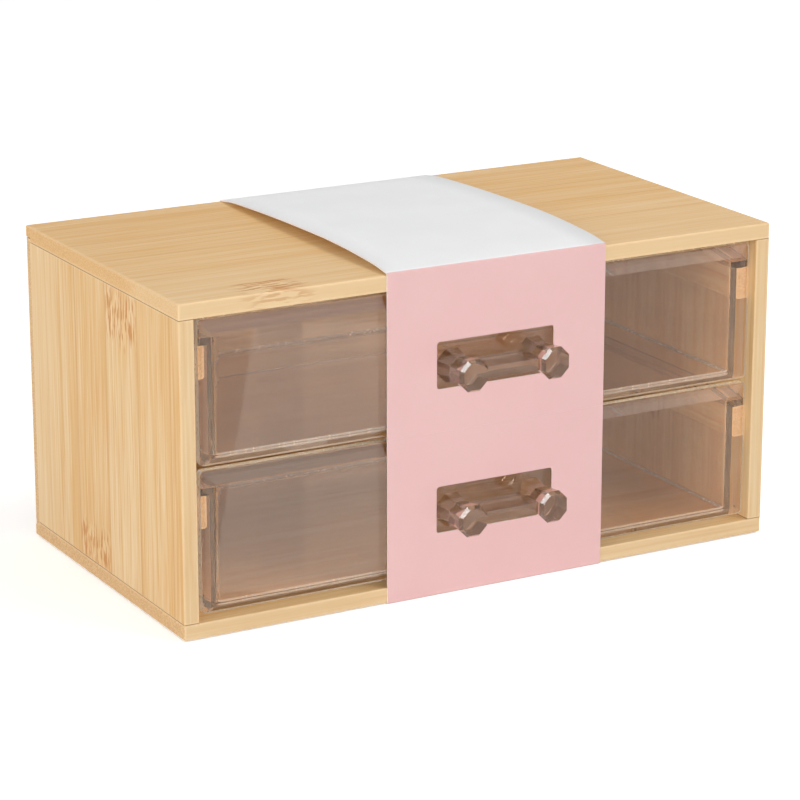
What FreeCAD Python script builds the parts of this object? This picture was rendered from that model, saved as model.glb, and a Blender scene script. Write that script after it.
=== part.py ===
import FreeCAD, Part
import os
import re
import Sketcher
from FreeCAD import Placement, Rotation, Vector

# Small bamboo chest with two smoked drawers and a card band round its middle.
# Millimetres, +Z up.  The chest stands on z = 0, its front faces -Y and its
# drawers pull out along -Y.  The origin is the middle of the whole footprint,
# handles included.

doc = FreeCAD.newDocument("JewelryChest")


# Driving dimensions

SIZES = [
    ("overall_depth", 117.0, "handle faces to the back of the card band"),
    ("card_thickness", 0.4, "card of the band"),
    ("case_width", 190.0, "outside width of the bamboo case"),
    ("case_height", 94.8, "outside height of the bamboo case"),
    ("board_thickness", 4.5, "top, bottom and side boards"),
    ("edge_round", 0.5, "sanded edges of the boards"),
    ("seam_round", 0.3, "eased edges of the side boards, which leave the seams between boards"),
    ("back_thickness", 3.0, "back panel"),
    ("rebate_height", 1.2, "step in the top and bottom boards that takes the back panel"),
    ("back_gap", 0.35, "slit left above the back panel"),
    ("runner_thickness", 4.8, "how far a runner stands off its side board"),
    ("runner_height", 9.5, "height of a runner"),
    ("runner_round", 0.8, "rounded inner edges of a runner"),
    ("runner_setback", 4.2, "case front to the runner's end grain"),
    ("runner_rear_gap", 2.0, "runner's rear end to the back panel"),
    ("plate_width", 177.8, "drawer front"),
    ("plate_height", 40.8, "drawer front"),
    ("plate_corner", 1.2, "rounded corners of the drawer front"),
    ("face_recess", 0.1, "case front to the flat face of a drawer"),
    ("bevel_land", 0.5, "narrow flat left round the front's edge before the slope"),
    ("bevel_depth", 1.2, "how far the front's rim slopes back"),
    ("bevel_width", 3.8, "edge to flat face at the top and sides of a drawer front"),
    ("bevel_width_low", 2.8, "edge to flat face at the bottom of a drawer front"),
    ("plate_edge", 2.4, "thickness of the drawer front at its edge"),
    ("lower_level", 6.8, "bottom edge of the lower drawer front"),
    ("drawer_pitch", 42.15, "lower drawer to upper drawer"),
    ("tray_width", 170.4, "outside width of a drawer's tray"),
    ("tray_rear_gap", 4.1, "tray's rear wall to the back panel"),
    ("tray_wall", 1.5, "side and rear walls of the tray"),
    ("tray_floor", 1.6, "floor of the tray"),
    ("tray_lift", 0.3, "tray's underside above the front's bottom edge"),
    ("tray_corner", 3.0, "outer rear corners of the tray"),
    ("tray_bay_corner", 1.5, "inner corners of the tray"),
    ("rim_drop", 5.5, "top edge of the drawer front down to the tray's rim"),
    ("flange_thickness", 2.0, "side flange that rides on the runner"),
    ("handle_reach", 13.5, "case front to the handle's front faces"),
    ("handle_offset", 1.4, "handle's middle to the right of the chest's middle"),
    ("handle_spacing", 26.2, "between the two posts of a handle"),
    ("handle_level", 18.15, "post centre above the front's bottom edge"),
    ("foot_across", 9.6, "post across flats where it meets the drawer front"),
    ("waist_across", 7.4, "post across flats at its waist"),
    ("girdle_across", 9.1, "post across flats at its widest"),
    ("crown_across", 7.5, "post across flats at its front face"),
    ("waist_reach", 5.2, "case front to the waist"),
    ("girdle_reach", 12.3, "case front to the widest ring"),
    ("web_height", 3.4, "web between the two posts"),
    ("web_reach", 11.4, "case front to the front edge of the web"),
    ("web_foot_gap", 1.2, "drawer front to the rear edge of the web"),
    ("band_left", 32.3, "chest's middle to the band's left edge"),
    ("band_right", 38.2, "chest's middle to the band's right edge"),
    ("band_rise", 0.4, "how far the band's top stands off the case at its front crease"),
    ("band_bow", 2.5, "how far the band's top bows up between its two creases"),
    ("band_split_gap", 0.1, "parting line between the two halves of the band's front"),
    ("band_foot", 0.2, "lower half's bottom edge above the table"),
    ("window_left", 16.6, "chest's middle to a window's left edge"),
    ("window_right", 21.4, "chest's middle to a window's right edge"),
    ("window_low", 11.7, "front's bottom edge to a window's lower edge"),
    ("window_high", 25.4, "front's bottom edge to a window's upper edge"),
    ("window_corner", 1.0, "rounded corners of a window"),
]

sheet = doc.addObject("Spreadsheet::Sheet", "Sizes")
for line, (alias, value, meaning) in enumerate(SIZES, start=1):
    sheet.set("A%d" % line, meaning)
    sheet.set("B%d" % line, str(value))
    sheet.setAlias("B%d" % line, alias)
doc.recompute()


ALIASES = {alias for alias, value, meaning in SIZES}


def expand(text):
    """Write each name of the sheet in an expression with the sheet's own name before it."""
    def full_name(found):
        word = found[0]
        return "Sizes." + word if word in ALIASES else word

    return re.sub("[a-z_]+", full_name, text)


def number(text):
    """What an expression comes to with the sheet's values."""
    return float(sheet.evalExpression(expand(text)))


# Places that several pieces share, as expressions of the sheet

FRONT = "(handle_reach - overall_depth / 2)"
CASE_DEPTH = "(overall_depth - handle_reach - card_thickness)"
BACK_FACE = "(%s + %s)" % (FRONT, CASE_DEPTH)
BACK_FRONT = "(%s - back_thickness)" % BACK_FACE
INNER_FLOOR = "(card_thickness + board_thickness)"
INNER_ROOF = "(card_thickness + case_height - board_thickness)"
CASE_TOP = "(card_thickness + case_height)"
INNER_SIDE = "(case_width / 2 - board_thickness)"
RIM = "(plate_height - rim_drop)"
PLATE_REAR = "(face_recess + bevel_depth + plate_edge)"
TRAY_REAR = "(%s - back_thickness - tray_rear_gap)" % CASE_DEPTH
SPLIT = "(lower_level + (plate_height + drawer_pitch) / 2)"

LEVELS = {
    "lower": "(lower_level)",
    "upper": "(lower_level + drawer_pitch)",
}


# Sketch and body helpers

def bind(target, prop, text):
    target.setExpression(prop, expand(text))


def bind_place(target, across, along, up):
    bind(target, "Placement.Base.x", across)
    bind(target, "Placement.Base.y", along)
    bind(target, "Placement.Base.z", up)


def new_body(name):
    body = doc.addObject("PartDesign::Body", name)
    body.Label = name
    return body


def new_sketch(body, name, plane, offset="0"):
    """Sketch on one of the body's own origin planes, moved along the plane's normal."""
    sketch = body.newObject("Sketcher::SketchObject", name)
    support = [item for item in body.Origin.OriginFeatures if item.Role == plane][0]
    sketch.AttachmentSupport = [(support, "")]
    sketch.MapMode = "FlatFace"
    bind(sketch, "AttachmentOffset.Base.z", offset)
    return sketch


def bound(sketch, constraint, label, text):
    """Add a dimension to a sketch and tie it to the sheet."""
    number = sketch.addConstraint(constraint)
    sketch.renameConstraint(number, label)
    bind(sketch, "Constraints." + label, text)


START = 9.0


def rectangle(sketch, left, right, low, high, label="side"):
    """Four lines, drawn round the origin first, whose places are then tied to the sheet."""
    first = sketch.GeometryCount
    corners = [Vector(across * START, up * START, 0)
               for across, up in ((-1, -1), (1, -1), (1, 1), (-1, 1))]
    for turn in range(4):
        sketch.addGeometry(Part.LineSegment(corners[turn], corners[(turn + 1) % 4]), False)
    for turn in range(4):
        follower = first + (turn + 1) % 4
        sketch.addConstraint(Sketcher.Constraint("Coincident", first + turn, 2, follower, 1))
    for turn in (0, 2):
        sketch.addConstraint(Sketcher.Constraint("Horizontal", first + turn))
        sketch.addConstraint(Sketcher.Constraint("Vertical", first + turn + 1))
    places = [
        ("DistanceX", first, "Left", left, -START),
        ("DistanceY", first, "Low", low, -START),
        ("DistanceX", first + 2, "Right", right, START),
        ("DistanceY", first + 2, "High", high, START),
    ]
    for kind, item, word, text, start in places:
        bound(sketch, Sketcher.Constraint(kind, -1, 1, item, 1, start), label + word, text)


def pad(body, name, sketch, length, reverse=False):
    feature = body.newObject("PartDesign::Pad", name)
    feature.Profile = sketch
    feature.Reversed = reverse
    bind(feature, "Length", length)
    body.Tip = feature
    doc.recompute()
    return feature


def pocket(body, name, sketch, depth, reverse=False):
    """Cut a sketch out of the body, and check that it did cut."""
    before = body.Tip.Shape.Volume
    feature = body.newObject("PartDesign::Pocket", name)
    feature.Profile = sketch
    feature.Reversed = reverse
    bind(feature, "Length", depth)
    body.Tip = feature
    doc.recompute()
    if not feature.Shape.Volume < before:
        raise ValueError("pocket %s of %s cut nothing" % (name, body.Label))
    return feature


def edges_where(body, direction, test):
    """Names of the straight edges along one axis whose middle point passes the test."""
    names = []
    for number, edge in enumerate(body.Tip.Shape.Edges, start=1):
        run = edge.Vertexes[-1].Point - edge.Vertexes[0].Point
        if run.Length < 1e-6 or abs(run.Length - edge.Length) > 1e-6:
            continue
        middle = edge.CenterOfMass
        if abs(run.normalize().dot(direction)) > 0.999 and test(middle):
            names.append("Edge%d" % number)
    return names


def fillet(body, name, edges, radius):
    base = body.Tip
    feature = body.newObject("PartDesign::Fillet", name)
    feature.Base = (base, edges)
    bind(feature, "Radius", radius)
    body.Tip = feature
    doc.recompute()
    return feature


ALONG_X = Vector(1, 0, 0)
ALONG_Y = Vector(0, 1, 0)
ALONG_Z = Vector(0, 0, 1)


# Top and bottom boards: full width and depth, grain across the chest, with a
# step along the rear inner edge that takes the back panel

def make_lid_board(name, up, step_up):
    """step_up is +1 where the stepped face looks up and -1 where it looks down."""
    body = new_body(name)
    bind_place(body, "0", FRONT, up)
    profile = new_sketch(body, name + "_outline", "XY_Plane")
    rectangle(profile, "-case_width / 2", "case_width / 2", "0", CASE_DEPTH)
    pad(body, name + "_slab", profile, "board_thickness")
    if step_up > 0:
        start = "board_thickness - rebate_height"
    else:
        start = "0"
    step = new_sketch(body, name + "_step", "XY_Plane", start)
    rear = "%s - back_thickness" % CASE_DEPTH
    rectangle(step, "-case_width", "case_width", rear, "case_width")
    pocket(body, name + "_rebate", step, "rebate_height", reverse=True)
    box = body.Tip.Shape.BoundBox
    outer = box.ZMin if step_up > 0 else box.ZMax

    def outside(point):
        return abs(point.z - outer) < 0.01

    chosen = edges_where(body, ALONG_X, outside)
    chosen += edges_where(body, ALONG_Y, outside)
    chosen += edges_where(body, ALONG_Z, lambda point: point.y < box.YMin + 0.01)
    fillet(body, name + "_sanded", chosen, "edge_round")
    return body


def make_side_board(name, side):
    """Upright board between the top and bottom boards, grain upright."""
    body = new_body(name)
    outer = "%d * case_width / 2" % side
    inner = "%d * %s" % (side, INNER_SIDE)
    bind_place(body, "0", FRONT, INNER_FLOOR)
    outline = new_sketch(body, name + "_outline", "XY_Plane")
    left, right = (inner, outer) if side > 0 else (outer, inner)
    rectangle(outline, left, right, "0", "%s - back_thickness" % CASE_DEPTH)
    pad(body, name + "_slab", outline, "%s - %s" % (INNER_ROOF, INNER_FLOOR))
    box = body.Tip.Shape.BoundBox
    outside = box.XMax if side > 0 else box.XMin
    edges = edges_where(body, ALONG_Z, lambda point: point.y < box.YMin + 0.01)
    edges += edges_where(body, ALONG_X, lambda point: point.y < box.YMin + 0.01)
    edges += edges_where(body, ALONG_Y, lambda point: abs(point.x - outside) < 0.01)
    fillet(body, name + "_sanded", edges, "seam_round")
    return body


def make_back_panel():
    """Thin panel laid on the rear ends of the side boards."""
    body = new_body("back_panel")
    low = "(%s - rebate_height)" % INNER_FLOOR
    bind_place(body, "0", BACK_FRONT, low)
    outline = new_sketch(body, "back_panel_outline", "XY_Plane")
    rectangle(outline, "-case_width / 2", "case_width / 2", "0", "back_thickness")
    pad(body, "back_panel_slab", outline,
        "%s + 2 * rebate_height - back_gap - %s" % (INNER_ROOF, INNER_FLOOR))
    box = body.Tip.Shape.BoundBox
    edges = edges_where(body, ALONG_Z, lambda point: point.y > box.YMax - 0.01)
    fillet(body, "back_panel_sanded", edges, "edge_round")
    return body


def make_runner(name, side, level):
    """Strip glued to a side board, on which the drawer's side flange rides."""
    body = new_body(name)
    flange_low = "(%s + %s - flange_thickness)" % (level, RIM)
    bind_place(body, "0", FRONT, "%s - runner_height" % flange_low)
    outer = "%d * %s" % (side, INNER_SIDE)
    inner = "%d * (%s - runner_thickness)" % (side, INNER_SIDE)
    left, right = (inner, outer) if side > 0 else (outer, inner)
    outline = new_sketch(body, name + "_outline", "XY_Plane")
    rear = "%s - back_thickness - runner_rear_gap" % CASE_DEPTH
    rectangle(outline, left, right, "runner_setback", rear)
    pad(body, name + "_strip", outline, "runner_height")
    edges = edges_where(body, ALONG_Y, lambda point: abs(point.x) < inner_reach())
    fillet(body, name + "_sanded", edges, "runner_round")
    return body


def inner_reach():
    """A distance from the middle that lies inside the thickness of the runners."""
    return sheet.case_width / 2 - sheet.board_thickness - sheet.runner_thickness / 2


# Drawers: one smoked moulding each, with a front whose rim slopes back on all
# four sides, an open tray behind it and a flange along each side of the tray

def make_drawer(name, level):
    body = new_body(name)
    bind_place(body, "0", FRONT, level)

    outline = new_sketch(body, name + "_front_outline", "XZ_Plane",
                         "-(face_recess + bevel_depth)")
    rectangle(outline, "-plate_width / 2", "plate_width / 2", "0", "plate_height")
    pad(body, name + "_front", outline, "plate_edge", reverse=True)

    rim = new_sketch(body, name + "_rim", "XZ_Plane", "-(face_recess + bevel_depth)")
    rectangle(rim, "-(plate_width / 2 - bevel_land)", "plate_width / 2 - bevel_land",
              "bevel_land", "plate_height - bevel_land")
    face = new_sketch(body, name + "_face", "XZ_Plane", "-face_recess")
    rectangle(face, "-(plate_width / 2 - bevel_width)", "plate_width / 2 - bevel_width",
              "bevel_width_low", "plate_height - bevel_width")
    bevel = body.newObject("PartDesign::AdditiveLoft", name + "_bevel")
    bevel.Profile = rim
    bevel.Sections = [face]
    bevel.Ruled = True
    body.Tip = bevel
    doc.recompute()

    floor = new_sketch(body, name + "_tray_outline", "XY_Plane", "tray_lift")
    rectangle(floor, "-tray_width / 2", "tray_width / 2", PLATE_REAR, TRAY_REAR)
    pad(body, name + "_tray", floor, "%s - tray_lift" % RIM)
    rear = body.Tip.Shape.BoundBox.YMax
    corners = edges_where(body, ALONG_Z, lambda point: point.y > rear - 0.01)
    fillet(body, name + "_tray_corners", corners, "tray_corner")

    flange = new_sketch(body, name + "_flange_outline", "XY_Plane", "%s - flange_thickness" % RIM)
    for side, word in ((-1, "left"), (1, "right")):
        near = "%d * (tray_width / 2 - tray_wall / 2)" % side
        far = "%d * plate_width / 2" % side
        left, right = (near, far) if side > 0 else (far, near)
        rectangle(flange, left, right, PLATE_REAR, "%s - tray_corner" % TRAY_REAR, word)
    pad(body, name + "_flanges", flange, "flange_thickness")

    bay = new_sketch(body, name + "_bay_outline", "XY_Plane", RIM)
    rectangle(bay, "-(tray_width / 2 - tray_wall)", "tray_width / 2 - tray_wall",
              PLATE_REAR, "%s - tray_wall" % TRAY_REAR)
    pocket(body, name + "_bay", bay, "%s - tray_lift - tray_floor" % RIM)
    reach = sheet.tray_width / 2 - sheet.tray_wall
    inside = edges_where(body, ALONG_Z, lambda point: abs(abs(point.x) - reach) < 0.01)
    fillet(body, name + "_bay_corners", inside, "tray_bay_corner")

    plate = edges_where(body, ALONG_Y, is_plate_corner)
    fillet(body, name + "_front_corners", plate, "plate_corner")
    return body


def is_plate_corner(point):
    """True on the four short edges at the corners of a drawer front."""
    at_side = abs(abs(point.x) - sheet.plate_width / 2) < 0.01
    at_end = min(point.z, sheet.plate_height - point.z) < 0.01
    return at_side and at_end


# Handles: two eight-sided posts that narrow to a waist and widen again, joined
# by a flat web; moulded clear and bonded to the drawer front by the posts' feet

EIGHTH_TURN = 360.0 / 8
POST_STATIONS = [
    ("foot", "foot_across", "face_recess"),
    ("waist", "waist_across", "-waist_reach"),
    ("girdle", "girdle_across", "-girdle_reach"),
    ("crown", "crown_across", "-handle_reach"),
]


def make_post(name, side):
    """Eight-sided post along Y, lofted through its four rings with flat facets."""
    rings = []
    flats_up = Rotation(ALONG_X, 90) * Rotation(ALONG_Z, EIGHTH_TURN / 2)
    for word, across, station in POST_STATIONS:
        ring = doc.addObject("Part::RegularPolygon", "%s_%s" % (name, word))
        ring.Polygon = 8
        ring.Placement = Placement(Vector(), flats_up)
        bind(ring, "Circumradius", "%s / 2 / cos(%g deg)" % (across, EIGHTH_TURN / 2))
        bind_place(ring, "handle_offset + %d * handle_spacing / 2" % side, station, "handle_level")
        rings.append(ring)
    post = doc.addObject("Part::Loft", name)
    post.Sections = rings
    post.Solid = True
    post.Ruled = True
    return post


def make_handle(name, level):
    posts = [make_post("%s_%s_post" % (name, word), side)
             for word, side in (("left", -1), ("right", 1))]
    web = doc.addObject("Part::Box", name + "_web")
    bind(web, "Length", "handle_spacing")
    bind(web, "Width", "web_reach + face_recess - web_foot_gap")
    bind(web, "Height", "web_height")
    bind_place(web, "handle_offset - handle_spacing / 2", "-web_reach",
               "handle_level - web_height / 2")
    handle = doc.addObject("Part::MultiFuse", name)
    handle.Label = name
    handle.Shapes = posts + [web]
    bind_place(handle, "0", FRONT, level)
    doc.recompute()
    return handle


# Card band round the middle of the chest: top, back and bottom stay with the
# case, and the front is parted between the drawers so that each half, with its
# window for the handle, goes with its drawer

def make_band():
    """Closed section of the band: straight runs, and a top that bows up between its creases."""
    body = new_body("card_band")
    bind_place(body, "-band_left", "0", "0")
    profile = new_sketch(body, "card_band_profile", "YZ_Plane")
    outer_rear = "%s + card_thickness" % BACK_FACE
    places = {
        "front_low": (FRONT, "0"),
        "rear_low": (outer_rear, "0"),
        "rear_high": (outer_rear, "%s + card_thickness" % CASE_TOP),
        "front_high": (FRONT, "%s + card_thickness + band_rise" % CASE_TOP),
        "front_under": (FRONT, "%s + band_rise" % CASE_TOP),
        "rear_under": (BACK_FACE, CASE_TOP),
        "rear_floor": (BACK_FACE, "card_thickness"),
        "front_floor": (FRONT, "card_thickness"),
    }
    spots = {corner: Vector(number(along), number(up), 0)
             for corner, (along, up) in places.items()}
    bows = [("rear_high", "front_high"), ("rear_under", "front_under")]
    runs = [("front_low", "rear_low"), ("rear_low", "rear_high"), ("front_high", "front_under"),
            ("rear_under", "rear_floor"), ("rear_floor", "front_floor"), ("front_floor", "front_low")]

    ends = {corner: [] for corner in places}
    for item, (start, finish) in enumerate(bows + runs):
        if item < len(bows):
            crown = (spots[start] + spots[finish]) / 2 + Vector(0, sheet.band_bow, 0)
            profile.addGeometry(Part.Arc(spots[start], crown, spots[finish]), False)
        else:
            profile.addGeometry(Part.LineSegment(spots[start], spots[finish]), False)
        ends[start].append((item, 1))
        ends[finish].append((item, 2))
    for corner, (first, second) in ends.items():
        profile.addConstraint(Sketcher.Constraint("Coincident", *first, *second))
        along, up = places[corner]
        spot = spots[corner]
        bound(profile, Sketcher.Constraint("DistanceX", -1, 1, *first, spot.x), corner + "_along", along)
        bound(profile, Sketcher.Constraint("DistanceY", -1, 1, *first, spot.y), corner + "_up", up)
    for item, (start, finish) in enumerate(bows):
        half = "((%s - %s) / 2)" % (places[start][0], places[finish][0])
        radius = "(%s ^ 2 + band_bow ^ 2) / (2 * band_bow)" % half
        bound(profile, Sketcher.Constraint("Radius", item, number(radius)), start + "_bow", radius)
    pad(body, "card_band_strip", profile, "band_left + band_right")
    return body


def make_front_half(name, level, low, high):
    body = new_body(name)
    bind_place(body, "0", FRONT, level)
    outline = new_sketch(body, name + "_outline", "XZ_Plane")
    rectangle(outline, "-band_left", "band_right",
              "%s - %s" % (low, level), "%s - %s" % (high, level))
    pad(body, name + "_card", outline, "card_thickness")
    window = new_sketch(body, name + "_window_outline", "XZ_Plane", "card_thickness")
    rectangle(window, "-window_left", "window_right", "window_low", "window_high")
    pocket(body, name + "_window", window, "card_thickness")
    reach = max(sheet.window_left, sheet.window_right) + 0.01
    corners = edges_where(body, ALONG_Y, lambda point: abs(point.x) < reach)
    fillet(body, name + "_window_corners", corners, "window_corner")
    return body


# The whole chest

pieces = [
    make_lid_board("bottom_board", "card_thickness", 1),
    make_lid_board("top_board", INNER_ROOF, -1),
    make_side_board("left_side_board", -1),
    make_side_board("right_side_board", 1),
    make_back_panel(),
    make_band(),
]
for floor_name, height in LEVELS.items():
    pieces.append(make_runner(floor_name + "_left_runner", -1, height))
    pieces.append(make_runner(floor_name + "_right_runner", 1, height))
    pieces.append(make_drawer(floor_name + "_drawer", height))
    pieces.append(make_handle(floor_name + "_handle", height))
pieces.append(make_front_half("lower_band_front", LEVELS["lower"], "band_foot",
                              "%s - band_split_gap / 2" % SPLIT))
pieces.append(make_front_half("upper_band_front", LEVELS["upper"],
                              "%s + band_split_gap / 2" % SPLIT,
                              "%s + card_thickness + band_rise" % CASE_TOP))
doc.recompute()


# Checks, then one file for each piece

for item in doc.Objects:
    if "Invalid" in item.State or "Error" in item.State:
        raise ValueError("%s is %s" % (item.Name, item.State))
for piece in pieces:
    shape = piece.Shape
    if shape.isNull() or not shape.isValid() or len(shape.Solids) != 1:
        raise ValueError("%s has no single valid solid" % piece.Label)

os.makedirs("parts", exist_ok=True)
for piece in pieces:
    piece.Shape.exportStep("parts/%s.step" % piece.Label)
    box = piece.Shape.BoundBox
    print("%-20s x %7.2f %7.2f  y %7.2f %7.2f  z %6.2f %6.2f  volume %9.1f" % (
        piece.Label, box.XMin, box.XMax, box.YMin, box.YMax, box.ZMin, box.ZMax,
        piece.Shape.Volume))
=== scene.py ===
import math

import bmesh
import bpy
from mathutils import Matrix, Vector


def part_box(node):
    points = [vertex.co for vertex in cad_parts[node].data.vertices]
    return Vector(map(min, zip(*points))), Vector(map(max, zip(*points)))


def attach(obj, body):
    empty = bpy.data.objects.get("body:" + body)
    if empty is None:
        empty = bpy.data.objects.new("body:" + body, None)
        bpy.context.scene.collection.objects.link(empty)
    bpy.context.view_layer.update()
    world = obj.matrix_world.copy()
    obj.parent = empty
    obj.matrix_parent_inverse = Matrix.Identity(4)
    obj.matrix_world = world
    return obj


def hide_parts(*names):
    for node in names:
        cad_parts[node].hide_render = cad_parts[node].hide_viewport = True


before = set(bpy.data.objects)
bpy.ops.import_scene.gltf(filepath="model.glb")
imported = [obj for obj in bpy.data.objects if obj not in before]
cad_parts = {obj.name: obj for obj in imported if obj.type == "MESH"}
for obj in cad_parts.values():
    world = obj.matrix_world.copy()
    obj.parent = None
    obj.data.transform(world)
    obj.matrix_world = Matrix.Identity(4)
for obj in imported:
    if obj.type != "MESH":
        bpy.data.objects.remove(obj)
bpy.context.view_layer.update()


# Bamboo boards of the case
# Top, bottom and two side boards, each pressed from bamboo strips laid side by side and sanded flat.
# The strips run across the chest on the top and bottom and upright on the sides, and the boards are
# glued at the corners, so the end grain of the top and bottom shows at the left and right.

MM = 0.001
FLOAT, VECTOR, COLOR = "NodeSocketFloat", "NodeSocketVector", "NodeSocketColor"


def shade(red, green, blue):
    """A colour as a maker would read it off a chart, 0 to 255, for a shader socket."""
    def straight(part):
        part /= 255
        return part / 12.92 if part <= 0.04045 else ((part + 0.055) / 1.055) ** 2.4
    return (straight(red), straight(green), straight(blue), 1.0)


def put(tree, kind, inputs=(), **settings):
    """A shader node with its settings, its plain values and its incoming links."""
    node = tree.nodes.new(kind)
    for name, value in settings.items():
        setattr(node, name, value)
    for key, value in dict(inputs).items():
        if isinstance(value, bpy.types.NodeSocket):
            tree.links.new(value, node.inputs[key])
        else:
            node.inputs[key].default_value = value
    return node


def calc(tree, operation, *terms):
    """One sum on plain numbers."""
    return put(tree, "ShaderNodeMath", dict(enumerate(terms)), operation=operation).outputs[0]


def vector_calc(tree, operation, *terms):
    """One sum on places or directions."""
    return put(tree, "ShaderNodeVectorMath", dict(enumerate(terms)), operation=operation).outputs[0]


def split(tree, vector):
    """The X, Y and Z of a place or direction."""
    return put(tree, "ShaderNodeSeparateXYZ", {0: vector}).outputs


def millimetres(tree, coords):
    """A piece's own place in millimetres, from its Texture Coordinate node."""
    return vector_calc(tree, "MULTIPLY", coords.outputs["Object"], (1 / MM,) * 3)


def ramp(tree, value, low, high, to_low=0.0, to_high=1.0):
    """Smooth step of a value from low to high."""
    ends = {"Value": value, "From Min": low, "From Max": high, "To Min": to_low, "To Max": to_high}
    return put(tree, "ShaderNodeMapRange", ends, interpolation_type="SMOOTHSTEP").outputs[0]


def tint_over(tree, share, first, second):
    """Colour first with share of colour second laid over it."""
    return put(tree, "ShaderNodeMix", {0: share, 6: first, 7: second}, data_type="RGBA").outputs[2]


def grain_noise(tree, place, stretch, detail=2.0):
    """Noise that changes stretch times in a millimetre along each of the three axes."""
    spread = vector_calc(tree, "MULTIPLY", place, stretch)
    return put(tree, "ShaderNodeTexNoise", {"Vector": spread, "Scale": 1.0, "Detail": detail,
                                            "Roughness": 0.55}).outputs[0]


def add_bump(tree, shader, strength, depth, height):
    """Relief on a finish, from a height of 0 to 1 that stands for a depth in millimetres."""
    bump = put(tree, "ShaderNodeBump", {"Strength": strength, "Distance": depth * MM, "Height": height})
    tree.links.new(bump.outputs[0], shader.inputs["Normal"])


def new_group(name, ins, outs):
    """An empty shader node group with named sockets; returns it with its two end nodes."""
    group = bpy.data.node_groups.new(name, "ShaderNodeTree")
    for label, kind, value in ins:
        socket = group.interface.new_socket(label, in_out="INPUT", socket_type=kind)
        if value is not None:
            socket.default_value = value
    for label, kind in outs:
        group.interface.new_socket(label, in_out="OUTPUT", socket_type=kind)
    return group, group.nodes.new("NodeGroupInput"), group.nodes.new("NodeGroupOutput")


def make_bamboo_grain():
    """Pressed bamboo: Place is in millimetres, X along the fibres, Y across the strips."""
    tree, given, made = new_group(
        "bamboo_grain",
        [("Place", VECTOR, None), ("Strip Width", FLOAT, 20.0), ("Shift", FLOAT, 0.0),
         ("Batch", FLOAT, 0.0), ("End Grain", FLOAT, 0.0), ("Streaks", FLOAT, 1.0)],
        [("Color", COLOR), ("Roughness", FLOAT), ("Height", FLOAT)])
    place = given.outputs["Place"]
    strip_width = given.outputs["Strip Width"]
    clear = given.outputs["Streaks"]

    # Every strip comes from another place in another cane, and its fibres sway a little
    cane_jump = (900.0, 90.0, 90.0)
    sway = 1.6
    across = calc(tree, "ADD", split(tree, place)[1], given.outputs["Shift"])
    lane = calc(tree, "DIVIDE", across, strip_width)
    strip = calc(tree, "ADD", calc(tree, "FLOOR", lane), given.outputs["Batch"])
    lot = put(tree, "ShaderNodeTexWhiteNoise", {"W": strip}, noise_dimensions="1D")
    jump = vector_calc(tree, "MULTIPLY", lot.outputs["Color"], cane_jump)
    wander = grain_noise(tree, place, (0.010, 0.05, 0.05), 1.0)
    wander = calc(tree, "MULTIPLY_ADD", wander, sway, -sway / 2)
    bent = put(tree, "ShaderNodeCombineXYZ", {1: wander}).outputs[0]
    moved = vector_calc(tree, "ADD", vector_calc(tree, "ADD", place, jump), bent)
    streak = grain_noise(tree, moved, (0.006, 0.20, 0.20), 2.0)
    fibre = grain_noise(tree, moved, (0.030, 1.25, 1.25), 3.0)
    bundle = grain_noise(tree, moved, (0.012, 0.60, 0.60), 2.0)
    specks = grain_noise(tree, moved, (0.02, 2.2, 2.2), 3.0)

    # The strip's own tone, then dark fibres, the pale flesh between them, and thick bundles: each
    # with where its noise begins and ends to show, its share and its colour
    tone = tint_over(tree, ramp(tree, streak, 0.34, 0.66), shade(235, 205, 160), shade(228, 188, 132))
    lot_share = calc(tree, "MULTIPLY", lot.outputs["Value"], 0.45)
    tone = tint_over(tree, lot_share, tone, shade(222, 176, 114))
    for source, begins, ends, share, colour in [(fibre, 0.50, 0.68, 0.55, shade(219, 162, 92)),
                                                (fibre, 0.48, 0.30, 0.50, shade(243, 218, 176)),
                                                (bundle, 0.60, 0.72, 0.45, shade(212, 152, 82))]:
        mask = calc(tree, "MULTIPLY", ramp(tree, source, begins, ends, 0.0, share), clear)
        tone = tint_over(tree, mask, tone, colour)

    # The glue lines, with a warmer margin beside them, from the distance to the strip's nearer edge
    edge = calc(tree, "FRACT", lane)
    edge = calc(tree, "MINIMUM", edge, calc(tree, "SUBTRACT", 1.0, edge))
    edge = calc(tree, "MULTIPLY", edge, strip_width)
    joint = ramp(tree, edge, 0.30, 0.05, 0.0, 0.60)
    beside = ramp(tree, edge, 2.4, 0.0, 0.0, 0.22)
    tone = tint_over(tree, beside, tone, shade(214, 158, 92))
    tone = tint_over(tree, joint, tone, shade(200, 142, 78))

    # The cut ends of the fibres
    end_tone = tint_over(tree, ramp(tree, specks, 0.38, 0.62), shade(230, 194, 144), shade(208, 164, 114))
    end_share = calc(tree, "MULTIPLY", given.outputs["End Grain"], 0.9)
    tree.links.new(tint_over(tree, end_share, tone, end_tone), made.inputs["Color"])
    tree.links.new(ramp(tree, fibre, 0.3, 0.7, 0.42, 0.60), made.inputs["Roughness"])
    height = calc(tree, "MULTIPLY", fibre, clear)
    height = calc(tree, "SUBTRACT", height, calc(tree, "MULTIPLY", joint, 0.8))
    tree.links.new(height, made.inputs["Height"])
    return tree


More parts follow.
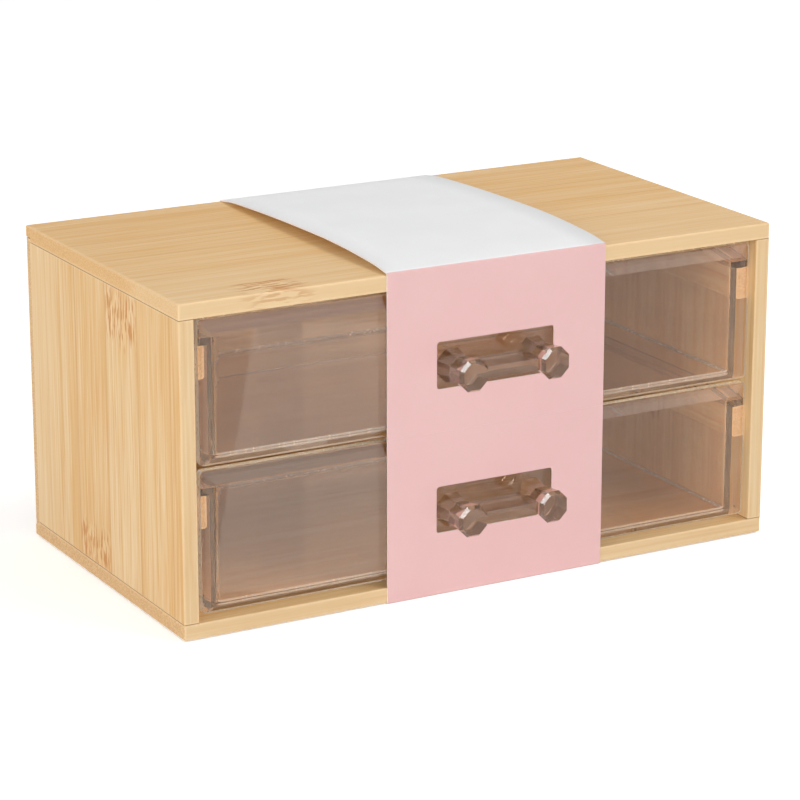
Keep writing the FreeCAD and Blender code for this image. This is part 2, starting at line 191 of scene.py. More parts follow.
def make_bamboo_knuckle():
    """The dashes that a cane's joint leaves in a strip; Centre is where, in the board's own axes."""
    tree, given, made = new_group(
        "bamboo_knuckle",
        [("Place", VECTOR, None), ("Centre", VECTOR, (0.0, 0.0, 0.0)),
         ("Half Length", FLOAT, 9.0), ("Half Width", FLOAT, 10.0)],
        [("Mask", FLOAT), ("Rim", FLOAT)])
    scatter = 16.0
    local = vector_calc(tree, "SUBTRACT", given.outputs["Place"], given.outputs["Centre"])
    parts = split(tree, local)
    sway = grain_noise(tree, local, (0.05, 0.28, 0.28), 1.0)
    sway = calc(tree, "MULTIPLY_ADD", sway, scatter, -scatter / 2)
    along = calc(tree, "ABSOLUTE", calc(tree, "ADD", parts[0], sway))
    along = calc(tree, "DIVIDE", along, given.outputs["Half Length"])
    across = calc(tree, "DIVIDE", calc(tree, "ABSOLUTE", parts[1]), given.outputs["Half Width"])
    inside = calc(tree, "MULTIPLY", ramp(tree, along, 1.0, 0.45), ramp(tree, across, 1.0, 0.82))
    dashes = grain_noise(tree, local, (0.13, 0.95, 0.95), 2.0)
    mask = calc(tree, "MULTIPLY", inside, ramp(tree, dashes, 0.47, 0.55))
    tree.links.new(mask, made.inputs["Mask"])
    tree.links.new(calc(tree, "MULTIPLY", inside, 0.35), made.inputs["Rim"])
    return tree


def make_sanded_edge():
    """Mask along the edges of a block, from its middle and half sizes in millimetres."""
    tree, given, made = new_group(
        "sanded_edge",
        [("Place", VECTOR, None), ("Middle", VECTOR, (0.0, 0.0, 0.0)),
         ("Half", VECTOR, (1.0, 1.0, 1.0)), ("Width", FLOAT, 0.9)],
        [("Mask", FLOAT)])
    local = vector_calc(tree, "SUBTRACT", given.outputs["Place"], given.outputs["Middle"])
    inward = vector_calc(tree, "SUBTRACT", given.outputs["Half"], vector_calc(tree, "ABSOLUTE", local))
    x, y, z = split(tree, inward)
    least = calc(tree, "MINIMUM", calc(tree, "MINIMUM", x, y), z)
    most = calc(tree, "MAXIMUM", calc(tree, "MAXIMUM", x, y), z)
    second = calc(tree, "SUBTRACT", calc(tree, "ADD", calc(tree, "ADD", x, y), z),
                  calc(tree, "ADD", least, most))
    rough = grain_noise(tree, given.outputs["Place"], (0.4, 0.4, 0.4), 2.0)
    reach = calc(tree, "MULTIPLY", given.outputs["Width"], calc(tree, "ADD", rough, 0.5))
    share = calc(tree, "DIVIDE", second, reach)
    tree.links.new(ramp(tree, share, 1.0, 0.2), made.inputs["Mask"])
    return tree


BAMBOO_GRAIN = make_bamboo_grain()
BAMBOO_KNUCKLE = make_bamboo_knuckle()
SANDED_EDGE = make_sanded_edge()


def new_material(name):
    """A material whose own nodes are only the shader and the output."""
    material = bpy.data.materials.new(name)
    material.use_nodes = True
    tree = material.node_tree
    return material, tree, tree.nodes["Principled BSDF"]


def bamboo(node, axes, strip_width, shift, batch, knuckles=(), streaks=1.0, pale=None, honey=0.0):
    """Bamboo for one board. axes gives the frame's axes along, across and through the strips; each
    knuckle has its centre on those axes, half its length and half its width; pale is where across
    the strips they begin and end to turn pale, and how pale they get; honey is how much yellower
    the whole board has aged."""
    material, tree, shader = new_material("bamboo_" + node)
    low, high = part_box(node)
    middle = (low + high) / 2 / MM
    coords = put(tree, "ShaderNodeTexCoord")
    place = millimetres(tree, coords)
    parts = split(tree, place)
    turned = put(tree, "ShaderNodeCombineXYZ",
                 {turn: parts[axis] for turn, axis in enumerate(axes)}).outputs[0]
    normal = split(tree, coords.outputs["Normal"])
    cut_end = ramp(tree, calc(tree, "ABSOLUTE", normal[axes[0]]), 0.6, 0.9)
    grain = put(tree, "ShaderNodeGroup", {
        "Place": turned, "Strip Width": strip_width, "Shift": shift, "Batch": batch,
        "End Grain": cut_end, "Streaks": streaks}, node_tree=BAMBOO_GRAIN)
    color = grain.outputs["Color"]
    if honey:
        color = tint_over(tree, honey, color, shade(233, 180, 106))
    if pale:
        dark_side, pale_side, share = pale
        mask = ramp(tree, split(tree, turned)[1], dark_side, pale_side, 0.0, share)
        color = tint_over(tree, mask, color, shade(240, 214, 172))
    for centre, half_length, half_width in knuckles:
        knuckle = put(tree, "ShaderNodeGroup", {
            "Place": turned, "Centre": centre, "Half Length": half_length,
            "Half Width": half_width}, node_tree=BAMBOO_KNUCKLE)
        color = tint_over(tree, knuckle.outputs["Rim"], color, shade(243, 214, 168))
        mask = calc(tree, "MULTIPLY", knuckle.outputs["Mask"], 0.85)
        color = tint_over(tree, mask, color, shade(201, 132, 62))

    # The long edges of a board that face across the strips get painted shade, greyer and darker, and all
    # its edges are rubbed pale
    across_facing_shade = ramp(tree, calc(tree, "ABSOLUTE", normal[axes[1]]), 0.6, 0.95)
    color = tint_over(tree, calc(tree, "MULTIPLY", across_facing_shade, 0.50), color, shade(211, 188, 152))
    edge = put(tree, "ShaderNodeGroup", {
        "Place": place, "Middle": middle, "Half": (high - low) / 2 / MM, "Width": 0.8},
        node_tree=SANDED_EDGE)
    color = tint_over(tree, calc(tree, "MULTIPLY", edge.outputs[0], 0.4), color, shade(244, 214, 172))

    # An upright board meets the top and bottom boards at both its ends, where a thin line of painted
    # shade stands in for the shadow in the joint's groove
    if axes[0] == "Z":
        painted_seam_begins, painted_seam_darkest, painted_seam_share = 0.34, 0.14, 0.7
        end = (high - low).z / 2 / MM
        along = calc(tree, "ABSOLUTE", calc(tree, "SUBTRACT", parts["Z"], middle.z))
        painted_seam_shade = ramp(tree, along, end - painted_seam_begins, end - painted_seam_darkest, 0.0, painted_seam_share)
        color = tint_over(tree, painted_seam_shade, color, shade(122, 80, 40))
    tree.links.new(color, shader.inputs["Base Color"])
    tree.links.new(grain.outputs["Roughness"], shader.inputs["Roughness"])
    add_bump(tree, shader, 0.35, 0.06, grain.outputs["Height"])
    shader.inputs["Specular IOR Level"].default_value = 0.2
    return material


def finish_board(node, **facts):
    """Give a packed board its bamboo; its shape stays as it is."""
    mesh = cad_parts[node].data
    mesh.materials.clear()
    mesh.materials.append(bamboo(node, **facts))


finish_board("top_board", axes="XYZ", strip_width=20.5, shift=13.6, batch=4.0, streaks=0.75,
             knuckles=[((-65.5, -41.0, 95.0), 12.0, 8.0)], pale=(-8.0, -22.0, 0.3), honey=0.35)
finish_board("bottom_board", axes="XYZ", strip_width=20.5, shift=9.0, batch=31.0, streaks=0.7,
             knuckles=[((40.0, 20.0, 0.0), 10.0, 9.0)])
finish_board("left_side_board", axes="ZYX", strip_width=21.0, shift=18.0, batch=12.0,
             knuckles=[((82.5, -7.5, -95.0), 10.0, 11.0), ((10.0, 13.5, -95.0), 8.0, 11.0)],
             pale=(35.0, 43.0, 0.45))
finish_board("right_side_board", axes="ZYX", strip_width=21.0, shift=4.0, batch=57.0,
             knuckles=[((30.0, 12.0, 95.0), 9.0, 10.0)])


# Back panel
# A thinner bamboo panel with its strips running across, laid on the rear ends of the side boards
# and let into steps in the top and bottom boards.

finish_board("back_panel", axes="XZY", strip_width=16.0, shift=2.0, batch=83.0, streaks=0.8,
             knuckles=[((-48.0, 62.0, 58.0), 9.0, 7.5), ((55.0, 30.0, 58.0), 9.0, 7.5)])


# Runners
# Four bamboo strips glued inside the side boards, end grain to the front; the drawers' side
# flanges slide on them.

for level in ("lower", "upper"):
    for side in ("left", "right"):
        runner = "%s_%s_runner" % (level, side)
        finish_board(runner, axes="YZX", strip_width=12.0, shift=5.0, batch=len(runner) * 3.0)


# Drawers
# Two mouldings of smoked see-through plastic: a thick front whose rim slopes back on all four
# sides, and an open tray behind it with a flange along each side that rides on the runners.

# Millimetres: Y and DRAWER_LEVELS are places in the frame, and heights are above the drawer's level
PLATE_WIDTH, PLATE_HEIGHT = 177.8, 40.8
PLATE_CORNER, FACE_CORNER = 1.2, 0.25
FACE_Y, RIM_Y, PLATE_REAR_Y = -44.9, -43.7, -41.3
LAND, BEVEL, BEVEL_LOW = 0.5, 3.8, 2.8
TRAY_HALF, TRAY_LOW, TRAY_RIM, TRAY_REAR_Y = 85.2, 0.3, 35.3, 51.0
TRAY_WALL, TRAY_FLOOR, TRAY_CORNER = 1.5, 1.6, 3.0
BAY_CORNER, BAY_ROUND, BAY_HEADROOM = 1.5, 0.9, 5
FLANGE, FLANGE_REAR_Y = 2.0, 48.0
WELD, MOULD_ROUND = 0.6, 0.22
DRAWER_LEVELS = {"lower": 6.8, "upper": 48.95}


def mesh_object(name, bm):
    """A new object at the origin from a bmesh in millimetres, its faces pointing out."""
    bmesh.ops.remove_doubles(bm, verts=bm.verts, dist=1e-5)
    bmesh.ops.recalc_face_normals(bm, faces=bm.faces)
    bmesh.ops.transform(bm, matrix=Matrix.Scale(MM, 4), verts=bm.verts)
    mesh = bpy.data.meshes.new(name)
    bm.to_mesh(mesh)
    bm.free()
    made = bpy.data.objects.new(name, mesh)
    bpy.context.scene.collection.objects.link(made)
    return made


def block(low, high, rounds=()):
    """A block from its two corners; each round is a test on an edge's middle and run, a radius
    and a number of steps."""
    bm = bmesh.new()
    bmesh.ops.create_cube(bm, size=1)
    low, high = Vector(low), Vector(high)
    for vert in bm.verts:
        vert.co = Vector(low[i] if vert.co[i] < 0 else high[i] for i in range(3))
    for test, radius, steps in rounds:
        chosen = []
        for edge in bm.edges:
            ends = [vert.co for vert in edge.verts]
            if test((ends[0] + ends[1]) / 2, (ends[1] - ends[0]).normalized()):
                chosen.append(edge)
        bmesh.ops.bevel(bm, geom=chosen, offset=radius, offset_type="OFFSET", segments=steps,
                        profile=0.5, affect="EDGES", clamp_overlap=False)
    return bm


def loft(bm, rings):
    """Skin a row of rings with the same number of points, and close both ends."""
    rows = [[bm.verts.new(point) for point in ring] for ring in rings]
    for near, far in zip(rows, rows[1:]):
        for turn in range(len(near)):
            after = (turn + 1) % len(near)
            bm.faces.new([near[turn], near[after], far[after], far[turn]])
    bm.faces.new(rows[0])
    bm.faces.new(rows[-1])
    return bm


def baked(piece):
    """Turn a piece's modifiers into its plain mesh."""
    graph = bpy.context.evaluated_depsgraph_get()
    graph.update()
    mesh = bpy.data.meshes.new_from_object(piece.evaluated_get(graph))
    piece.modifiers.clear()
    piece.data = mesh
    return piece


def joined(first, others, operation):
    """Weld or cut blocks with first, and return first as a plain mesh."""
    for other in others:
        step = first.modifiers.new("weld", "BOOLEAN")
        step.operation = operation
        step.object = other
        step.solver = "EXACT"
    baked(first)
    for other in others:
        bpy.data.objects.remove(other)
    return first


def soften(piece, width, steps, angle=28):
    """Round a moulding's edges by a small radius; the rounds get its first finish."""
    bevel = piece.modifiers.new("soft_edges", "BEVEL")
    bevel.material = 0
    bevel.width = width * MM
    bevel.segments = steps
    bevel.limit_method = "ANGLE"
    bevel.angle_limit = math.radians(angle)
    bevel.miter_outer = "MITER_ARC"
    bevel.harden_normals = False
    return baked(piece)


def rounded_outline(half_width, low, high, radius, y, steps=4):
    """Points round a rectangle with rounded corners, counter-clockwise as seen from the front."""
    points = []
    for corner, (sx, z) in enumerate([(-1, low), (1, low), (1, high), (-1, high)]):
        cx = sx * (half_width - radius)
        cz = low + radius if z == low else high - radius
        for turn in range(steps + 1):
            angle = math.radians(180 + 90 * corner + 90 * turn / steps)
            points.append((cx + radius * math.cos(angle), y, cz + radius * math.sin(angle)))
    return points


def drawer_front(level):
    """The front plate: square edges with a narrow land, and a mitred slope up to the flat face."""
    half, low, high = PLATE_WIDTH / 2, level, level + PLATE_HEIGHT
    rear = rounded_outline(half, low, high, PLATE_CORNER, PLATE_REAR_Y)
    rim = rounded_outline(half, low, high, PLATE_CORNER, RIM_Y)
    land = rounded_outline(half - LAND, low + LAND, high - LAND, PLATE_CORNER - LAND, RIM_Y)
    face = rounded_outline(half - BEVEL, low + BEVEL_LOW, high - BEVEL, FACE_CORNER, FACE_Y)
    return loft(bmesh.new(), [rear, rim, land, face])


def make_drawer(name, level):
    """Front, tray and flanges welded into one moulding, and the tray hollowed out."""
    def upright(middle, run):
        return abs(run.z) > 0.9

    def upright_rear(middle, run):
        return upright(middle, run) and middle.y > 0

    def floor_edge(middle, run):
        return abs(run.z) < 0.1 and middle.z < level + TRAY_RIM / 2

    weld_y, rim_z = PLATE_REAR_Y - WELD, level + TRAY_RIM
    front = mesh_object(name, drawer_front(level))
    tray = mesh_object("tray", block(
        (-TRAY_HALF, weld_y, level + TRAY_LOW), (TRAY_HALF, TRAY_REAR_Y, rim_z),
        [(upright_rear, TRAY_CORNER, 6)]))
    flanges = []
    for side in (-1, 1):
        ends = sorted((side * (TRAY_HALF - 1), side * PLATE_WIDTH / 2))
        flanges.append(mesh_object("flange", block(
            (ends[0], weld_y, rim_z - FLANGE), (ends[1], FLANGE_REAR_Y, rim_z))))
    bay = mesh_object("bay", block(
        (-TRAY_HALF + TRAY_WALL, PLATE_REAR_Y, level + TRAY_LOW + TRAY_FLOOR),
        (TRAY_HALF - TRAY_WALL, TRAY_REAR_Y - TRAY_WALL, rim_z + BAY_HEADROOM),
        [(upright, BAY_CORNER, 4), (floor_edge, BAY_ROUND, 3)]))
    joined(front, [tray, *flanges], "UNION")
    joined(front, [bay], "DIFFERENCE")
    for finish in DRAWER_FINISHES:
        front.data.materials.append(finish)
    for face in front.data.polygons:
        face.material_index = PLAIN
    return soften(front, MOULD_ROUND, 2)


def drawer_finish(middle, normal, level):
    """The finish of one face of a drawer, from its middle in millimetres and its normal."""
    slack, rim_skin, low_skin = 0.05, 0.6, 0.2
    on_rim = RIM_Y - slack < middle.y < PLATE_REAR_Y + slack and abs(normal.y) < 0.3
    outside = (abs(middle.x) > PLATE_WIDTH / 2 - rim_skin
               or middle.z > level + PLATE_HEIGHT - rim_skin or middle.z < level + low_skin)
    if on_rim and outside:
        # Edge faces on the left get a painted silvery glow, the others a painted tan reflection of the
        # bamboo
        return LEFT_EDGE if normal.x < -0.5 else OTHER_EDGE
    behind = middle.y > PLATE_REAR_Y
    from_wall = abs(abs(middle.x) - TRAY_HALF + TRAY_WALL / 2)
    if behind and abs(normal.x) > 0.9 and from_wall < TRAY_WALL:
        return SIDE_WALL
    over_floor = middle.z - level - TRAY_LOW - TRAY_FLOOR
    # The rounds along the tray floor's edges get the milky finish that shows as painted highlight lines
    if behind and 0.12 < abs(normal.z) < 0.97 and 0.0 < over_floor < 1.0:
        return FLOOR_ROUND
    return PLAIN


def smoked_plastic(name, tint, haze, speckle, clear_share, flecks=0.0, bonded=None):
    """See-through moulded plastic; lamps' rays pass it straight, tinted, so that they reach the inside.
    haze and speckle are how rough it is, clear_share is how much of it is see-through, and flecks is
    how dark its flecks are. bonded tells how near the next moulding light runs on through it: a
    middle and half width across, and the y from which it does so within that width and outside it."""
    material, tree, shader = new_material(name)
    place = millimetres(tree, put(tree, "ShaderNodeTexCoord"))
    flow = grain_noise(tree, place, (0.03, 0.03, 0.05), 2.0)
    dust = grain_noise(tree, place, (1.7, 1.7, 1.7), 3.0)
    darker = tuple(part * 0.95 for part in tint[:3]) + (1.0,)
    color = tint_over(tree, ramp(tree, flow, 0.35, 0.65), tint, darker)
    if flecks:
        fleck = grain_noise(tree, place, (0.9, 0.9, 0.9), 2.0)
        color = tint_over(tree, ramp(tree, fleck, 0.56, 0.66, 0.0, flecks), color, shade(96, 78, 66))
    tree.links.new(color, shader.inputs["Base Color"])
    rough = ramp(tree, dust, 0.55, 0.8, haze, haze + speckle)
    tree.links.new(rough, shader.inputs["Roughness"])
    wave = grain_noise(tree, place, (0.08, 0.08, 0.08), 2.0)
    grit = calc(tree, "MULTIPLY", dust, speckle)
    add_bump(tree, shader, 0.25, 0.05, calc(tree, "ADD", wave, grit))
    shader.inputs["Transmission Weight"].default_value = clear_share
    shader.inputs["IOR"].default_value = 1.50
    rays = put(tree, "ShaderNodeLightPath")
    passing = calc(tree, "MAXIMUM", rays.outputs["Is Shadow Ray"], rays.outputs["Is Diffuse Ray"])
    if bonded is not None:
        middle, half_width, from_y, outside_from_y = bonded
        spot = split(tree, place)
        across = calc(tree, "ABSOLUTE", calc(tree, "SUBTRACT", spot["X"], middle))
        within = calc(tree, "LESS_THAN", across, half_width)
        start = calc(tree, "MULTIPLY_ADD", within, from_y - outside_from_y, outside_from_y)
        passing = calc(tree, "MAXIMUM", passing, calc(tree, "GREATER_THAN", spot["Y"], start))
    straight = put(tree, "ShaderNodeBsdfTransparent", {"Color": (1.0, 0.985, 0.97, 1.0)})
    mixed = put(tree, "ShaderNodeMixShader", {0: passing, 1: shader.outputs[0], 2: straight.outputs[0]})
    tree.links.new(mixed.outputs[0], tree.nodes["Material Output"].inputs["Surface"])
    return material


# The clear body; the frosted edge faces on the left, with dust on them and a painted silvery glow of
# light carried along the plate; the slightly dusty walls of the tray; the other edge faces, with a
# painted tan reflection of the board above; and the milky rounds at the floor's edges, a painted
# highlight
SMOKED = smoked_plastic("smoked_plastic", (0.99, 0.855, 0.73, 1.0), 0.02, 0.05, 0.985)
# Frosted, dusty cut edge whose silvery white colour is a painted glow of light carried along the plate
FROSTED_EDGE_AND_GLOW = smoked_plastic("smoked_plastic_cut_edge_and_glow", (0.90, 0.93, 0.98, 1.0), 0.30, 0.6, 0.15,
                             flecks=0.4)
SMOKED_WALL = smoked_plastic("smoked_plastic_side_wall", (0.99, 0.88, 0.78, 1.0), 0.08, 0.25, 0.92,
                             flecks=0.12)
# Its tan colour is a painted reflection of the bamboo board above
TAN_REFLECTION_EDGE = smoked_plastic("smoked_plastic_tan_reflection_edge", (0.98, 0.82, 0.60, 1.0), 0.25, 0.5, 0.35)
# Milky pale finish on the floor's rounds, so that they show as painted highlight lines
PALE_ROUND_HIGHLIGHT = smoked_plastic("smoked_plastic_inner_round_highlight", (0.93, 0.82, 0.72, 1.0), 0.2, 0.4, 0.60)
DRAWER_FINISHES = [SMOKED, FROSTED_EDGE_AND_GLOW, SMOKED_WALL, TAN_REFLECTION_EDGE, PALE_ROUND_HIGHLIGHT]
PLAIN, LEFT_EDGE, SIDE_WALL, OTHER_EDGE, FLOOR_ROUND = range(5)

for word, level in DRAWER_LEVELS.items():
    drawer = make_drawer(word + "_drawer_moulding", level)
    for face in drawer.data.polygons:
        face.material_index = drawer_finish(face.center / MM, face.normal, level)
    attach(drawer, word + "_drawer_body")
    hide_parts(word + "_drawer")


# Handles
# A clear moulding for each drawer: two eight-sided posts that narrow to a waist and widen again,
# joined by a flat web, bonded to the drawer's front by the feet of the posts.

HANDLE_X, POST_SPACING, POST_LEVEL = 1.4, 26.2, 18.15
POST_SIDES = 8
# Foot, waist, head and the head's flat end: the y of each and its width across the flats
POST_RINGS = [(-44.93, 9.6), (-50.2, 7.4), (-57.3, 9.1), (-58.5, 7.5)]
POST_FOOT_Y, POST_REACH, POST_ROUND = POST_RINGS[0][0], 3.6, 0.16
WEB_FRONT_Y, WEB_REAR_Y, WEB_HEIGHT = -56.4, -46.1, 3.4


def make_post(x, z):
    """One post, from its rings' places and their widths across the flats."""
    rings = []
    for y, across in POST_RINGS:
        radius = across / 2 / math.cos(math.pi / POST_SIDES)
        turns = [math.pi / POST_SIDES + turn * 2 * math.pi / POST_SIDES for turn in range(POST_SIDES)]
        rings.append([(x + radius * math.cos(a), y, z + radius * math.sin(a)) for a in turns])
    return loft(bmesh.new(), rings)


# Between the posts the web stands off the drawer's front; under the posts the feet are bonded to it
CLEAR = smoked_plastic("clear_plastic", (0.67, 0.52, 0.43, 1.0), 0.0, 0.0, 0.995,
                       bonded=(HANDLE_X, POST_SPACING / 2 - POST_REACH, WEB_REAR_Y - 0.1,
                               POST_FOOT_Y - 0.01))

for word, level in DRAWER_LEVELS.items():
    centre = level + POST_LEVEL
    left_x, right_x = HANDLE_X - POST_SPACING / 2, HANDLE_X + POST_SPACING / 2
    left = mesh_object(word + "_handle_moulding", make_post(left_x, centre))
    right = mesh_object("post", make_post(right_x, centre))
    web = mesh_object("web", block((left_x, WEB_FRONT_Y, centre - WEB_HEIGHT / 2),
                                   (right_x, WEB_REAR_Y, centre + WEB_HEIGHT / 2)))
    handle = soften(joined(left, [right, web], "UNION"), POST_ROUND, 3, angle=12)
    handle.data.materials.append(CLEAR)
    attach(handle, word + "_drawer_body")
    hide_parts(word + "_handle")


# Card band
# A sleeve of printed card folded round the middle of the chest, white on the top, back and bottom
# and pink on the front, parted between the drawers so that each half of the front, with its window
# for the handle, goes with its drawer.

CARD, FOLD = 0.4, 0.9
BAND_LEFT, BAND_RIGHT, BAND_SPANS = -32.3, 38.2, 8
CREASE_Y, CREASE_LIFT, CREASE_ROUND = -45.0, 0.4, CARD * 0.97
CASE_TOP, CASE_BACK_Y = 95.2, 58.1
# How far the sleeve bows up off the top board at each y, from the back fold to the front crease
TOP_LIFT = [(58.1 - FOLD, 0.0), (50.0, 0.95), (40.0, 1.5), (28.0, 2.0), (14.0, 2.4), (0.0, 2.62),
            (-10.0, 2.68), (-20.0, 2.45), (-28.0, 2.1), (-35.0, 1.65), (-40.0, 1.2),
            (CREASE_Y, CREASE_LIFT)]
SPLIT, SPLIT_GAP, SPLIT_ZONE = 48.275, 0.02, 5
BAND_HALVES = {"lower": (0.2, SPLIT - SPLIT_GAP / 2), "upper": (SPLIT + SPLIT_GAP / 2, 96.0)}
WINDOW_LEFT, WINDOW_RIGHT, WINDOW_LOW, WINDOW_HIGH = -16.6, 21.4, 11.7, 25.4
WINDOW_CORNER, WINDOW_CUT = 1.0, 2


def card_stock(name, main, fleck, gloss):
    """Coated card: faint clouds and fibres in its colour, and a slight tooth."""
    material, tree, shader = new_material(name)
    place = millimetres(tree, put(tree, "ShaderNodeTexCoord"))
    cloud = grain_noise(tree, place, (0.05, 0.05, 0.05), 3.0)
    fibre = grain_noise(tree, place, (1.6, 1.6, 1.6), 3.0)
    color = tint_over(tree, ramp(tree, cloud, 0.35, 0.65, 0.0, 0.5), main, fleck)
    color = tint_over(tree, ramp(tree, fibre, 0.5, 0.75, 0.0, 0.35), color, fleck)
    tree.links.new(color, shader.inputs["Base Color"])
    tree.links.new(ramp(tree, fibre, 0.3, 0.7, gloss, gloss + 0.12), shader.inputs["Roughness"])
    add_bump(tree, shader, 0.2, 0.02, fibre)
    shader.inputs["Specular IOR Level"].default_value = 0.4
    return material


WHITE_CARD = card_stock("white_card", shade(243, 243, 243), shade(238, 238, 239), 0.38)
PINK_CARD = card_stock("pink_card", shade(224, 183, 181), shade(221, 178, 176), 0.38)
CUT_CARD = card_stock("card_cut_edge", shade(248, 240, 238), shade(236, 226, 222), 0.7)


def smooth_run(points, steps=4):
    """A smooth row of points through the given ones."""
    run = []
    ends = [points[0], *points, points[-1]]
    for before, start, finish, after in zip(ends, ends[1:], ends[2:], ends[3:]):
        for step in range(steps):
            t = step / steps
            run.append(tuple(
                0.5 * (2 * b + (c - a) * t + (2 * a - 5 * b + 4 * c - d) * t * t
                       + (3 * b - a - 3 * c + d) * t ** 3)
                for a, b, c, d in zip(before, start, finish, after)))
    return run + [points[-1]]


def fold(y, z, radius, start, steps=5):
    """A quarter turn of card about a point of the section, clockwise from an angle in degrees."""
    angles = [math.radians(start - 90 * step / steps) for step in range(steps + 1)]
    return [(y + radius * math.cos(a), z + radius * math.sin(a)) for a in angles]


def band_section():
    """The band's section, outer side from the front crease round the back, then the inner side."""
    lifts = smooth_run(TOP_LIFT[::-1])[:-1]
    rear_y, roof = CASE_BACK_Y + CARD - FOLD, CASE_TOP + CARD - FOLD
    sides = []
    for card, radius, end_z in ((CARD, FOLD, 0.0), (0.0, FOLD - CARD, CARD)):
        sides.append([(y, CASE_TOP + lift + card) for y, lift in lifts]
                     + fold(rear_y, roof, radius, 90) + fold(rear_y, FOLD, radius, 0)
                     + [(CREASE_Y, end_z)])
    outer, inner = sides
    return outer + inner[::-1]


def band_wrap():
    """The part of the band that stays on the case."""
    section = band_section()
    rings = []
    for step in range(BAND_SPANS + 1):
        x = BAND_LEFT + (BAND_RIGHT - BAND_LEFT) * step / BAND_SPANS
        rings.append([(x, y, z) for y, z in section])
    wrap = mesh_object("card_band_wrap", loft(bmesh.new(), rings))
    for card in (WHITE_CARD, CUT_CARD):
        wrap.data.materials.append(card)
    for face in wrap.data.polygons:
        cut_side = abs(face.normal.x) > 0.5
        face.material_index = int(cut_side or face.center.y / MM < CREASE_Y + 0.01)
        face.use_smooth = not cut_side
    return wrap


def band_half(name, level, low, high):
    """One half of the band's front, with its window."""
    def crease(middle, run):
        front = middle.y < CREASE_Y - CARD / 2
        return abs(run.x) > 0.9 and front and abs(middle.z - SPLIT) > SPLIT_ZONE

    def window_edge(middle, run):
        return abs(run.y) > 0.9

    half = mesh_object(name, block((BAND_LEFT, CREASE_Y - CARD, low), (BAND_RIGHT, CREASE_Y, high),
                                   [(crease, CREASE_ROUND, 5)]))
    window = mesh_object("window", block(
        (WINDOW_LEFT, CREASE_Y - WINDOW_CUT, level + WINDOW_LOW),
        (WINDOW_RIGHT, CREASE_Y + WINDOW_CUT, level + WINDOW_HIGH),
        [(window_edge, WINDOW_CORNER, 6)]))
    joined(half, [window], "DIFFERENCE")
    half.data.materials.clear()
    for card in (PINK_CARD, CUT_CARD, WHITE_CARD):
        half.data.materials.append(card)
    for face in half.data.polygons:
        if face.normal.y < -0.02:
            face.material_index = 0
        else:
            face.material_index = 2 if face.normal.y > 0.7 else 1
    return half


wrap = band_wrap()
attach(wrap, "case")
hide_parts("card_band")
for word, level in DRAWER_LEVELS.items():
    half = band_half(word + "_band_half", level, *BAND_HALVES[word])
    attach(half, word + "_drawer_body")
    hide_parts(word + "_band_front")


# Studio
# White floor and white surroundings with soft light from the left and front, and the camera at
# the photograph's viewpoint.

CAMERA_AIM = Vector((0.55, 6.55, 41.71)) * MM
CAMERA_TURN, CAMERA_RISE, CAMERA_ROLL = -29.078, 16.597, -0.025
CAMERA_DISTANCE, CAMERA_LENS, CAMERA_SENSOR = 950.48 * MM, 144.87, 36.0

camera = bpy.data.objects.new("camera", bpy.data.cameras.new("camera"))
bpy.context.scene.collection.objects.link(camera)
camera.data.lens = CAMERA_LENS
camera.data.sensor_width = CAMERA_SENSOR
camera.data.clip_start = 0.01
camera.data.clip_end = 50.0
turn, rise = math.radians(CAMERA_TURN), math.radians(CAMERA_RISE)
away = Vector((math.sin(turn) * math.cos(rise), -math.cos(turn) * math.cos(rise), math.sin(rise)))
camera.location = CAMERA_AIM + away * CAMERA_DISTANCE
camera.rotation_mode = "QUATERNION"
camera.rotation_quaternion = ((-away).to_track_quat("-Z", "Y")
                              @ Matrix.Rotation(math.radians(CAMERA_ROLL), 4, "Z").to_quaternion())
bpy.context.scene.camera = camera
bpy.context.scene.view_settings.view_transform = "Standard"

# The plastic is many walls deep, and light has to get through all of them
WALL_BOUNCES = 32
bpy.context.scene.cycles.max_bounces = WALL_BOUNCES
bpy.context.scene.cycles.transmission_bounces = WALL_BOUNCES
bpy.context.scene.cycles.glossy_bounces = WALL_BOUNCES


def softbox(name, place, aim, size, power):
    """A lamp with its place and aim in metres, its width and height, and its watts."""
    lamp = bpy.data.lights.new(name, "AREA")
    lamp.shape = "RECTANGLE"
    lamp.size, lamp.size_y = size
    lamp.energy = power
    holder = bpy.data.objects.new(name, lamp)
    bpy.context.scene.collection.objects.link(holder)
    holder.location = place
    holder.rotation_mode = "QUATERNION"
    holder.rotation_quaternion = (Vector(aim) - Vector(place)).to_track_quat("-Z", "Y")
    holder.visible_camera = False
    return holder


softbox("front_softbox", (-0.1, -1.6, 0.42), (0, 0, 0.05), (1.5, 0.7), 4.8)
softbox("right_front_softbox", (0.82, -1.42, 0.47), (0, 0, 0.06), (0.5, 0.5), 1.2)
softbox("left_softbox", (-1.45, -0.62, 0.55), (0, 0, 0.05), (1.3, 0.8), 10.4)
softbox("top_softbox", (0.6, -0.55, 1.25), (0, 0, 0.05), (0.7, 0.7), 6.8)

# Small bright box high on the left, seen only as a glint in facets that face it
glint = softbox("glint_softbox", (-0.84, -0.29, 1.12), (0, -0.05, 0.05), (0.55, 0.55), 13.0)
glint.visible_diffuse = False

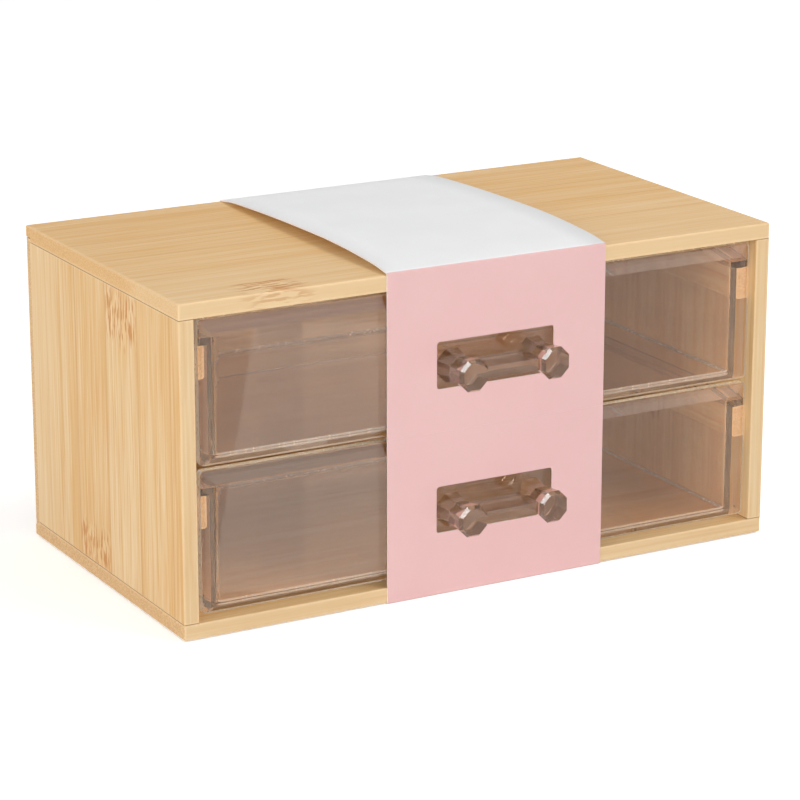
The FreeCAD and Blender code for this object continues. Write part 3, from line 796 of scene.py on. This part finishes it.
# Two strips of white card on the table, seen only mirrored in the left of the drawer fronts; each
# has its place across the fronts, its width and its brightness
STRIPS = [("wide_strip", -0.061, 0.050, 1.3), ("narrow_strip", -0.049, 0.024, 0.6)]
STRIP_OFFSET, STRIP_Y, STRIP_Z = 0.0815, -0.191, 0.0008
STRIP_LENGTH, STRIP_TURN, STRIP_COLOR = 0.29, -29.1, (1.0, 0.93, 0.84)
for name, x, wide, glow in STRIPS:
    middle = Vector((x + STRIP_OFFSET, STRIP_Y, STRIP_Z))
    power = glow * math.pi * wide * STRIP_LENGTH
    strip = softbox(name, middle, middle + Vector((0, 0, 1)), (wide, STRIP_LENGTH), power)
    strip.rotation_quaternion = strip.rotation_quaternion @ Matrix.Rotation(
        math.radians(STRIP_TURN), 4, "Z").to_quaternion()
    strip.data.color = STRIP_COLOR
    strip.visible_diffuse = False
    strip.visible_transmission = False

# Surroundings: full white to the camera, dimmer as light on the chest, and with a darker ceiling
# in reflections
SURROUND_LIGHT, SURROUND_SEEN = 0.48, 0.52
world = bpy.data.worlds.new("surroundings")
bpy.context.scene.world = world
world.use_nodes = True
tree = world.node_tree
rays = put(tree, "ShaderNodeLightPath")
height = split(tree, put(tree, "ShaderNodeTexCoord").outputs["Generated"])["Z"]
ceiling = ramp(tree, height, 0.30, 0.70, 1.0, 0.2)
seen = calc(tree, "MAXIMUM", rays.outputs["Is Glossy Ray"], rays.outputs["Is Transmission Ray"])
seen = calc(tree, "MAXIMUM", calc(tree, "MULTIPLY", seen, ceiling), rays.outputs["Is Camera Ray"])
strength = calc(tree, "MULTIPLY_ADD", seen, SURROUND_SEEN, SURROUND_LIGHT)
background = tree.nodes["Background"]
background.inputs["Color"].default_value = (1, 1, 1, 1)
tree.links.new(strength, background.inputs["Strength"])

# Floor: it glows white to the camera, through the plastic and in reflections. A drawer front mirrors
# a point of it at x + MIRROR_SLOPE * y + MIRROR_SHIFT across, and from MIRROR_BEGINS to MIRROR_ENDS
# the glow fades out of reflections, because the room is darker on that side
FLOOR_REACH, FLOOR_GLOW = 6.0, 0.42
MIRROR_SLOPE, MIRROR_SHIFT, MIRROR_BEGINS, MIRROR_ENDS = 0.556, 0.025, 0.035, 0.055
bm = bmesh.new()
bmesh.ops.create_grid(bm, x_segments=1, y_segments=1, size=FLOOR_REACH)
floor_mesh = bpy.data.meshes.new("floor")
bm.to_mesh(floor_mesh)
bm.free()
floor = bpy.data.objects.new("floor", floor_mesh)
bpy.context.scene.collection.objects.link(floor)
material, tree, shader = new_material("white_floor")
coords = put(tree, "ShaderNodeTexCoord").outputs["Object"]
cloud = grain_noise(tree, coords, (0.8, 0.8, 0.8), 2.0)
tree.links.new(tint_over(tree, cloud, (0.93, 0.93, 0.93, 1), (0.92, 0.92, 0.92, 1)),
               shader.inputs["Base Color"])
shader.inputs["Roughness"].default_value = 0.9
shader.inputs["Specular IOR Level"].default_value = 0.1
rays = put(tree, "ShaderNodeLightPath")
seen = calc(tree, "MAXIMUM", rays.outputs["Is Camera Ray"], rays.outputs["Is Glossy Ray"])
seen = calc(tree, "MAXIMUM", seen, rays.outputs["Is Transmission Ray"])
parts = split(tree, coords)
mirrored = calc(tree, "MULTIPLY_ADD", parts["Y"], MIRROR_SLOPE, MIRROR_SHIFT)
mirrored = calc(tree, "ADD", parts["X"], mirrored)
unlit = calc(tree, "MULTIPLY", ramp(tree, mirrored, MIRROR_BEGINS, MIRROR_ENDS),
             rays.outputs["Is Glossy Ray"])
seen = calc(tree, "SUBTRACT", seen, unlit)
glow = put(tree, "ShaderNodeEmission", {"Strength": calc(tree, "MULTIPLY", seen, FLOOR_GLOW)})
both = put(tree, "ShaderNodeAddShader", {0: shader.outputs[0], 1: glow.outputs[0]})
tree.links.new(both.outputs[0], tree.nodes["Material Output"].inputs["Surface"])
floor.data.materials.append(material)
